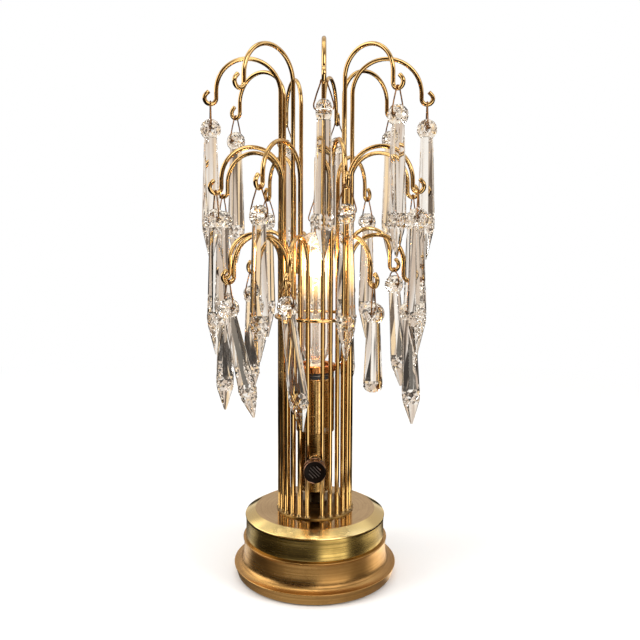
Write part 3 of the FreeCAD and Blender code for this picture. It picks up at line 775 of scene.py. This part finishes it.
# An azimuth is counted in degrees from the front, to the right
def outwards(azimuth):
    angle = math.radians(azimuth)
    return Vector((math.sin(angle), -math.cos(angle), 0.0))


def footPlace(place):
    root = rodShape["gap"] / 2 + rodShape["step"] * place
    return outwards(root) * rodShape["cage"] * mm


def makeRod(hanger):
    shape = rodShape
    foot = footPlace(hanger["place"]) + Vector((0, 0, shape["foot"] * mm))
    hook = outwards(hanger["azimuth"]) * hanger["reach"] * mm
    hook.z = (hanger["peak"] - shape["hang"]) * mm
    level = Vector((hook.x - foot.x, hook.y - foot.y, 0))
    out = level.normalized()
    axis = out.cross(Vector((0, 0, 1)))
    arch = (level.length - shape["hook"] * mm) / 2
    centre = foot + out * arch
    centre.z = hanger["peak"] * mm - arch
    rod = startRing(shape["sides"], shape["radius"], foot, fill_type="NGON")
    drawOut((0, 0, centre.z - foot.z))
    bpy.ops.mesh.spin(steps=shape["archSteps"], angle=math.pi, center=centre, axis=axis)
    drawOut((0, 0, hook.z - centre.z))
    bpy.ops.mesh.spin(steps=shape["hookSteps"], angle=math.radians(shape["hookTurn"]),
                      center=hook, axis=-axis)
    slope = math.radians(shape["hookTurn"] - 90)
    drawOut((out * math.cos(slope) + Vector((0, 0, math.sin(slope)))) * shape["tip"] * mm)
    closeUp()
    smoothEdges(rod, shape["edge"], wireShape["smooth"])
    return rod


def makeRods():
    for tier in tiers:
        rods = joinPieces([makeRod(hanger) for hanger in hangers if hanger["tier"] == tier])
        finishPiece(rods, "rods" + tier.capitalize(), "wireBrass", "stand",
                    ["rods_" + tier])


def makeHoop():
    ring = startRing(hoop["sides"], hoop["wire"], (hoop["radius"] * mm, 0, hoop["height"] * mm),
                     rotation=(math.radians(90), 0, 0))
    bpy.ops.mesh.spin(steps=hoop["steps"], angle=2 * math.pi,
                      center=(0, 0, hoop["height"] * mm), axis=(0, 0, 1))
    closeUp(hoop["weld"])
    smoothEdges(ring, angle=wireShape["smooth"])
    finishPiece(ring, "hoop", "wireBrass", "stand", ["hoop_ring"])


# Beads of solder where the rods stand on their disc, each a little different
solder = {
    "bead": [(1.3, 47.9), (2.4, 48.0), (2.1, 48.25), (1.8, 48.7), (1.6, 49.4), (1.3, 49.7)],
    "sides": 16, "swell": 0.25, "swellStep": 2.3, "widen": 0.1,
}


def makeSolder():
    bead = turnPiece(solder["bead"], solder["sides"], closed=True)
    lift = Matrix.Translation((0, 0, rodShape["foot"] * mm))
    beads = []
    for place in range(rodShape["count"]):
        high = 1 + solder["swell"] * math.sin(place * solder["swellStep"])
        size = Matrix.Diagonal((1 + solder["widen"] * math.cos(place), 1.0, high, 1.0))
        copy = copyPiece(bead)
        copy.data.transform(Matrix.Translation(footPlace(place)) @ lift @ size @ lift.inverted())
        beads.append(copy)
    bpy.data.objects.remove(bead)
    finishPiece(joinPieces(beads), "solderBeads", "solder", "stand")


# Wire pins: a closed loop over each hook and through the prism's head. The crown lies in the
# hook, and widens where the pin stands askew to it
pinShape = {
    "wire": 0.48, "bar": 4.9, "belly": (6.0, 1.2), "shoulder": (5.2, 6.5), "neck": 0.15,
    "neckDrop": 0.6, "crown": 1.97, "widen": 1.3, "crownSide": (0.86, 0.6), "leastSine": 0.5,
}


def makePin(hanger):
    shape, length = pinShape, hanger["pinLength"]
    across = Vector((hanger["hole"].x, hanger["hole"].y, 0)).normalized()
    fold = outwards(hanger["azimuth"])
    slant = 1 / max(abs(across.cross(fold).z), shape["leastSine"])
    lean = math.asin(max(-1.0, min(1.0, hanger["hole"].z)))
    wide = shape["crown"] * (shape["widen"] * slant - (shape["widen"] - 1))
    high = shape["crown"] * slant
    (belly, bellyUp), (shoulder, shoulderUp) = shape["belly"], shape["shoulder"]
    side = [(wide + shape["neck"], -shape["neckDrop"]), (shoulder, shoulderUp - length),
            (belly, bellyUp - length), (shape["bar"], -length)]
    lower = [(-out, up) for out, up in side] + side[::-1]
    sideOut, sideUp = wide * shape["crownSide"][0], high * shape["crownSide"][1]
    upper = [(sideOut, sideUp), (0, high), (-sideOut, sideUp)]
    top = hanger["pin"] + Vector((0, 0, length))
    points = []
    for out, up in lower:
        leant = out * math.cos(lean) - (up + length) * math.sin(lean)
        raised = (up + length) * math.cos(lean) + out * math.sin(lean) - length
        points.append(top + across * leant + Vector((0, 0, raised)))
    points += [top + across * out + Vector((0, 0, up)) for out, up in upper]
    return wireThrough("pin", points, shape["wire"], closed=True)


def makePins():
    for tier in tiers:
        pins = joinPieces([makePin(hanger) for hanger in hangers
                           if hanger["tier"] == tier and hanger["prism"]])
        finishPiece(pins, "pins" + tier.capitalize(), "pinBronze", "stand",
                    ["pins_" + tier])


hangers = readHangers()
makeRods()
makeHoop()
makeSolder()
makePins()
print("rods, hoop and pins bent")

# Prisms: cut once for each length, then hung from their pins. A ring is its radius, its height
# from the hole's middle, and 1 where its corners are turned by half a side
crystalCut = {
    "head": [(2.7, -4.9, 0), (5.0, -4.2, 1), (6.7, -2.6, 0), (7.15, -0.9, 1), (7.15, 0.9, 1),
             (6.7, 2.6, 0), (5.0, 4.2, 1), (2.7, 4.9, 0)],
    "headSides": 12, "sides": 8, "polish": 0.16, "polishAngle": 8,
    "hole": 1.3, "holeSides": 16, "holeDepth": 12, "holeDrop": 0.66, "holeSlack": 1.02,
    "tipSlack": 0.05,
}
bodyCuts = {
    "spear": [(4.4, -5.2, 0), (6.3, -62.6, 0), (6.4, -65.8, 1), (6.1, -69.0, 0),
              (5.6, -71.8, 1), (0.8, -91.0, 1)],
    "smallSpear": [(4.4, -5.2, 0), (6.3, -54.6, 0), (6.4, -57.8, 1), (6.1, -61.0, 0),
                   (5.6, -63.4, 1), (0.8, -78.0, 1)],
    "stub": [(4.4, -5.2, 0), (6.3, -44.4, 0), (6.3, -47.2, 1), (5.4, -49.2, 0), (3.2, -50.5, 1)],
}
stubPrism = "prism_lower_1"


def cutPiece(rings, sides):
    radius, height, turned = rings[0]
    piece = startRing(sides, radius, (0, 0, height * mm), fill_type="NGON",
                      rotation=(0, 0, turned * math.pi / sides))
    for nextRadius, nextHeight, nextTurned in rings[1:]:
        drawOut((0, 0, (nextHeight - height) * mm))
        middle = (0, 0, nextHeight * mm)
        scale = nextRadius / radius
        bpy.ops.transform.resize(value=(scale, scale, 1), center_override=middle)
        if nextTurned != turned:
            bpy.ops.transform.rotate(
                value=math.pi / sides, orient_axis="Z", center_override=middle)
        radius, height, turned = nextRadius, nextHeight, nextTurned
    bpy.ops.mesh.select_all(action="SELECT")
    bpy.ops.mesh.quads_convert_to_tris(quad_method="SHORTEST_DIAGONAL")
    closeUp()
    return piece


# The head and the drill lie along the hole
def layAlong(piece):
    piece.matrix_world = Matrix.Rotation(math.radians(90), 4, "Y")
    return settle(piece)


def makeCrystal(body):
    cut = crystalCut
    crystal = cutPiece(body, cut["sides"])
    combine(crystal, layAlong(cutPiece(cut["head"], cut["headSides"])), "UNION")
    combine(crystal, layAlong(makeDrill(cut)), "DIFFERENCE")
    bevelEdges(crystal, cut["polish"], cut["polishAngle"], 1)
    bore = [face.index for face in crystal.data.polygons
            if math.hypot(face.center.y, face.center.z) < cut["holeSlack"] * cut["hole"] * mm]
    crystal.data.transform(Matrix.Translation((0, 0, -cut["holeDrop"] * mm)))
    return crystal, bore


def findTip(node, pin):
    corners = [node.matrix_world @ vertex.co for vertex in node.data.vertices]
    reach = max((corner - pin).length for corner in corners) - crystalCut["tipSlack"] * mm
    tips = [corner for corner in corners if (corner - pin).length > reach]
    return sum(tips, Vector()) / len(tips)


def hangPrisms():
    masters = {name: makeCrystal(body) for name, body in bodyCuts.items()}
    for hanger in hangers:
        name = hanger["prism"]
        if not name:
            continue
        kind = "smallSpear" if hanger["tier"] == "lower" else "spear"
        master, bore = masters["stub" if name == stubPrism else kind]
        pin = hanger["pin"] * mm
        up = (pin - findTip(frame["nodes"][name], pin)).normalized()
        across = hanger["hole"].normalized()
        turn = Matrix((across, up.cross(across), up)).transposed().to_4x4()
        prism = copyPiece(master)
        prism.data.transform(Matrix.Translation(pin) @ turn)
        finishPiece(prism, name.replace("prism", "cutPrism"), "crystal", name, [name])
        # The bore's faces take the glass that carries the painted shade
        prism.data.materials.append(finishes["drilledBore"])
        for face in bore:
            prism.data.polygons[face].material_index = 1
    for master, bore in masters.values():
        bpy.data.objects.remove(master)


hangPrisms()
print("prisms cut and hung")

# What keeps its CAD shape gets its finish here
nodeFinishes = {
    "base_weight": "castIron", "cord_bush": "blackPlastic", "stem_nuts": "stemSteel",
    "socket_core": "porcelain", "screw_shell": "socketBrass", "centre_contact": "socketBrass",
    "switch_body": "blackPlastic", "switch_shaft": "steel",
}


def dressNodes():
    for name, finish in nodeFinishes.items():
        node = frame["nodes"][name]
        if not node.material_slots:
            node.data.materials.append(finishes[finish])
        for place in node.material_slots:
            place.material = finishes[finish]


dressNodes()
print("nodes dressed")

# What shines through crystal: pale, rosy and warm light, broken by upright dark streaks, which
# are closer together a little below eye level
throughCrystal = {
    "upright": (1.0, 1.0, 0.02), "below": (-0.42, -0.19, 0.03), "level": (0.55, 0.40),
    "ripple": (90.0, 1.0), "closer": 0.14, "streak": (0.42, 0.37),
    "rosyNoise": (55.0, 3.0), "rosy": (0.38, 0.52), "warmNoise": (38.0, 2.0),
    "warm": (0.54, 0.62), "paleTone": (1.0, 0.95, 0.88), "rosyTone": (0.66, 0.53, 0.42),
    "warmTone": (1.0, 0.75, 0.46), "skyTone": (1.0, 0.89, 0.74), "darkTone": (0.16, 0.12, 0.09),
    "darkestTone": (0.06, 0.052, 0.045),
}
# What polished brass mirrors: the table near the lamp, and the room beyond it. A glow is its
# first and last azimuth, how softly it fades, and its colour
mirrored = {
    "nearNoise": 9.0, "nearClouds": (0.40, 0.62), "nearDark": (0.08, 0.065, 0.045),
    "nearLight": (0.36, 0.30, 0.22),
    "nearGlows": [(-34, 26, 14, (0.50, 0.45, 0.38)), (72, 118, 9, (2.2, 2.0, 1.6)),
                  (-118, -94, 7, (1.05, 1.0, 0.9))],
    "farNoise": 2.2, "farClouds": (0.42, 0.62), "farDark": (0.004, 0.003, 0.002),
    "farLight": (0.035, 0.028, 0.02), "farGlows": [(8, 43, 5, (2.2, 2.05, 1.75))],
}
floorLook = {
    "size": 24.0, "tone": (0.86, 0.85, 0.84), "otherTone": (0.88, 0.87, 0.86), "clouds": 3.0,
    "roughness": 0.8, "fades": (0.35, 0.9), "nearEnds": (0.107, 0.124),
    "behind": (135, 150), "behindReach": (0.34, 0.26), "behindTone": (0.75, 0.66, 0.5),
}
# A window is its first and last azimuth, the sine of its low and its high edge, and its light
room = {
    "backdrop": (1.0, 1.0, 1.0), "even": (0.62, 0.62, 0.62), "noise": 3.0,
    "clouds": (0.42, 0.62), "dark": (0.02, 0.012, 0.006), "light": (0.13, 0.08, 0.045),
    "rear": (84, 96), "rearTone": (0.85, 0.80, 0.72), "floorEnds": (0.0, 0.06),
    "upper": (0.70, 0.90), "upperTone": (0.60, 0.55, 0.47), "ceiling": (0.93, 0.985),
    "ceilingTone": (2.35, 2.2, 1.85), "wallDepth": (0.15, 0.6), "wallHeight": (0.14, 0.62, 0.06),
    "wallTone": (0.56, 0.50, 0.46), "sideFade": 5, "edgeFade": 0.05,
    "windows": [(-112, -66, 0.16, 0.66, (2.6, 2.45, 2.2)), (62, 92, 0.24, 0.56, (1.7, 1.65, 1.6)),
                (-133, -108, 0.66, 0.94, (1.9, 1.75, 1.35)),
                (-144, -139, 0.45, 0.66, (2.0, 1.85, 1.5)),
                (116, 136, 0.56, 0.88, (1.25, 1.3, 1.4)), (4, 46, 0.38, 0.72, (3.4, 3.2, 2.9))],
}


def lookThrough(tree, place, height):
    look = throughCrystal
    flat = addNode(tree, "ShaderNodeVectorMath", {0: place, 1: Vector(look["upright"])},
                   operation="MULTIPLY").outputs[0]
    way = addNode(tree, "ShaderNodeVectorMath", {0: flat}, operation="NORMALIZE").outputs[0]
    below = between(tree, height, *look["below"])
    level = spread(tree, reckon(tree, "ABSOLUTE", height), *look["level"])
    ripple = reckon(tree, "SUBTRACT", noise(tree, way, *look["ripple"]),
                    multiply(tree, below, look["closer"]))
    streak = multiply(tree, spread(tree, ripple, *look["streak"]), level)
    rosy = spread(tree, noise(tree, way, *look["rosyNoise"]), *look["rosy"])
    warm = spread(tree, noise(tree, way, *look["warmNoise"]), *look["warm"])
    pale = blendColours(tree, rosy, look["paleTone"], look["rosyTone"])
    pale = blendColours(tree, warm, pale, look["warmTone"])
    pale = blendColours(tree, level, look["skyTone"], pale)
    dark = blendColours(tree, below, look["darkTone"], look["darkestTone"])
    return blendColours(tree, streak, pale, dark)


def findAzimuth(tree, x, y):
    return reckon(tree, "DEGREES", reckon(tree, "ARCTAN2", x, multiply(tree, y, -1.0)))


def mirrorGround(tree, reach, place, azimuth):
    cloudy = spread(tree, noise(tree, place, mirrored[reach + "Noise"]),
                    *mirrored[reach + "Clouds"])
    tone = blendColours(tree, cloudy, mirrored[reach + "Dark"], mirrored[reach + "Light"])
    for start, end, soft, glow in mirrored[reach + "Glows"]:
        tone = blendColours(tree, between(tree, azimuth, start, end, soft), tone, glow)
    return tone


# The floor catches light near the lamp and fades into the backdrop. Polished metal sees the
# painted tones in it, and crystal sees through it
def makeFloor():
    look = floorLook
    startPiece()
    bpy.ops.mesh.primitive_plane_add(size=look["size"], location=(0, 0, 0))
    floor = bpy.context.object
    floor.name = "floor"
    material, tree, shader = newMaterial("paleFloor")
    place = onPiece(tree)
    pale = blendColours(tree, noise(tree, place, look["clouds"]), look["tone"], look["otherTone"])
    tree.links.new(pale, shader.inputs["Base Color"])
    shader.inputs["Roughness"].default_value = look["roughness"]
    path = addNode(tree, "ShaderNodeLightPath")
    refracts = path.outputs["Is Transmission Ray"]
    mirrors = reckon(tree, "SUBTRACT", path.outputs["Is Glossy Ray"], refracts, clamp=True)
    away = addNode(tree, "ShaderNodeVectorMath", {0: place}, operation="LENGTH").outputs["Value"]
    far = reckon(tree, "MAXIMUM", spread(tree, away, *look["fades"]), mirrors)
    azimuth = findAzimuth(tree, *splitUp(tree, place)[:2])
    behind = multiply(tree, spread(tree, reckon(tree, "ABSOLUTE", azimuth), *look["behind"]),
                      spread(tree, away, *look["behindReach"]))
    distant = blendColours(tree, behind, mirrorGround(tree, "far", place, azimuth),
                           look["behindTone"])
    around = blendColours(tree, spread(tree, away, *look["nearEnds"]),
                          mirrorGround(tree, "near", place, azimuth), distant)
    tone = blendColours(tree, mirrors, room["backdrop"], around)
    beyond = addNode(tree, "ShaderNodeEmission", {"Color": tone}).outputs[0]
    both = addNode(tree, "ShaderNodeMixShader", {0: far, 1: shader.outputs[0], 2: beyond})
    clear = addNode(tree, "ShaderNodeBsdfTransparent").outputs[0]
    shown = addNode(tree, "ShaderNodeMixShader", {0: refracts, 1: both.outputs[0], 2: clear})
    tree.links.new(shown.outputs[0], tree.nodes["Material Output"].inputs["Surface"])
    material.cycles.emission_sampling = "NONE"
    floor.data.materials.append(material)


def makeRoom():
    world = bpy.data.worlds.new("paleRoom")
    bpy.context.scene.world = world
    world.cycles.sampling_method = "NONE"
    world.use_nodes = True
    tree = world.node_tree
    tree.nodes.clear()
    way = addNode(tree, "ShaderNodeTexCoord").outputs["Generated"]
    x, depth, height = splitUp(tree, way)
    azimuth = findAzimuth(tree, x, depth)
    cloudy = spread(tree, noise(tree, way, room["noise"]), *room["clouds"])
    tone = blendColours(tree, cloudy, room["dark"], room["light"])
    rear = spread(tree, reckon(tree, "ABSOLUTE", azimuth), *room["rear"])
    tone = blendColours(tree, rear, tone, room["rearTone"])
    tone = blendColours(tree, spread(tree, height, *room["floorEnds"]),
                        mirrorGround(tree, "far", way, azimuth), tone)
    wall = multiply(tree, spread(tree, depth, *room["wallDepth"]),
                    between(tree, height, *room["wallHeight"]))
    for mask, glow in ((spread(tree, height, *room["upper"]), room["upperTone"]),
                       (spread(tree, height, *room["ceiling"]), room["ceilingTone"]),
                       (wall, room["wallTone"])):
        tone = blendColours(tree, mask, tone, glow)
    for start, end, low, high, glow in room["windows"]:
        window = multiply(tree, between(tree, azimuth, start, end, room["sideFade"]),
                          between(tree, height, low, high, room["edgeFade"]))
        tone = blendColours(tree, window, tone, glow)
    path = addNode(tree, "ShaderNodeLightPath")
    tone = blendColours(tree, path.outputs["Is Glossy Ray"], room["even"], tone)
    tone = blendColours(tree, path.outputs["Is Transmission Ray"], tone,
                        lookThrough(tree, way, height))
    tone = blendColours(tree, path.outputs["Is Camera Ray"], tone, room["backdrop"])
    light = addNode(tree, "ShaderNodeBackground", {"Color": tone}).outputs[0]
    addNode(tree, "ShaderNodeOutputWorld", {"Surface": light})


softLights = {
    "leftWindow": {"place": (-1.3, -0.5, 0.9), "aim": (0, 0, 0.18), "size": (0.7, 1.2),
                   "power": 16, "tone": (1.0, 0.97, 0.93)},
    "rightWindow": {"place": (1.2, -0.75, 0.8), "aim": (0, 0, 0.15), "size": (0.5, 1.0),
                    "power": 12, "tone": (1.0, 0.98, 0.96)},
    "overhead": {"place": (0.0, -0.2, 1.9), "aim": (0, 0, 0), "size": (1.6, 1.6),
                 "power": 18, "tone": (1.0, 1.0, 1.0)},
}
bulbLight = {"place": (0, 0, 0.222), "power": 5.5, "tone": (1.0, 0.80, 0.50), "radius": 0.011}


def addLight(name, kind, values):
    startPiece()
    bpy.ops.object.light_add(type=kind, location=values["place"])
    light = bpy.context.object
    light.name = name
    light.data.energy = values["power"]
    light.data.color = values["tone"]
    return light


def makeLights():
    for name, values in softLights.items():
        light = addLight(name, "AREA", values)
        aim = Vector(values["aim"]) - Vector(values["place"])
        light.rotation_euler = aim.to_track_quat("-Z", "Y").to_euler()
        light.data.shape = "RECTANGLE"
        light.data.size, light.data.size_y = values["size"]
        light.visible_glossy = False
    addLight("bulbLight", "POINT", bulbLight).data.shadow_soft_size = bulbLight["radius"]


makeFloor()
makeRoom()
makeLights()
bpy.context.scene.view_settings.view_transform = "Standard"
print("stage set")
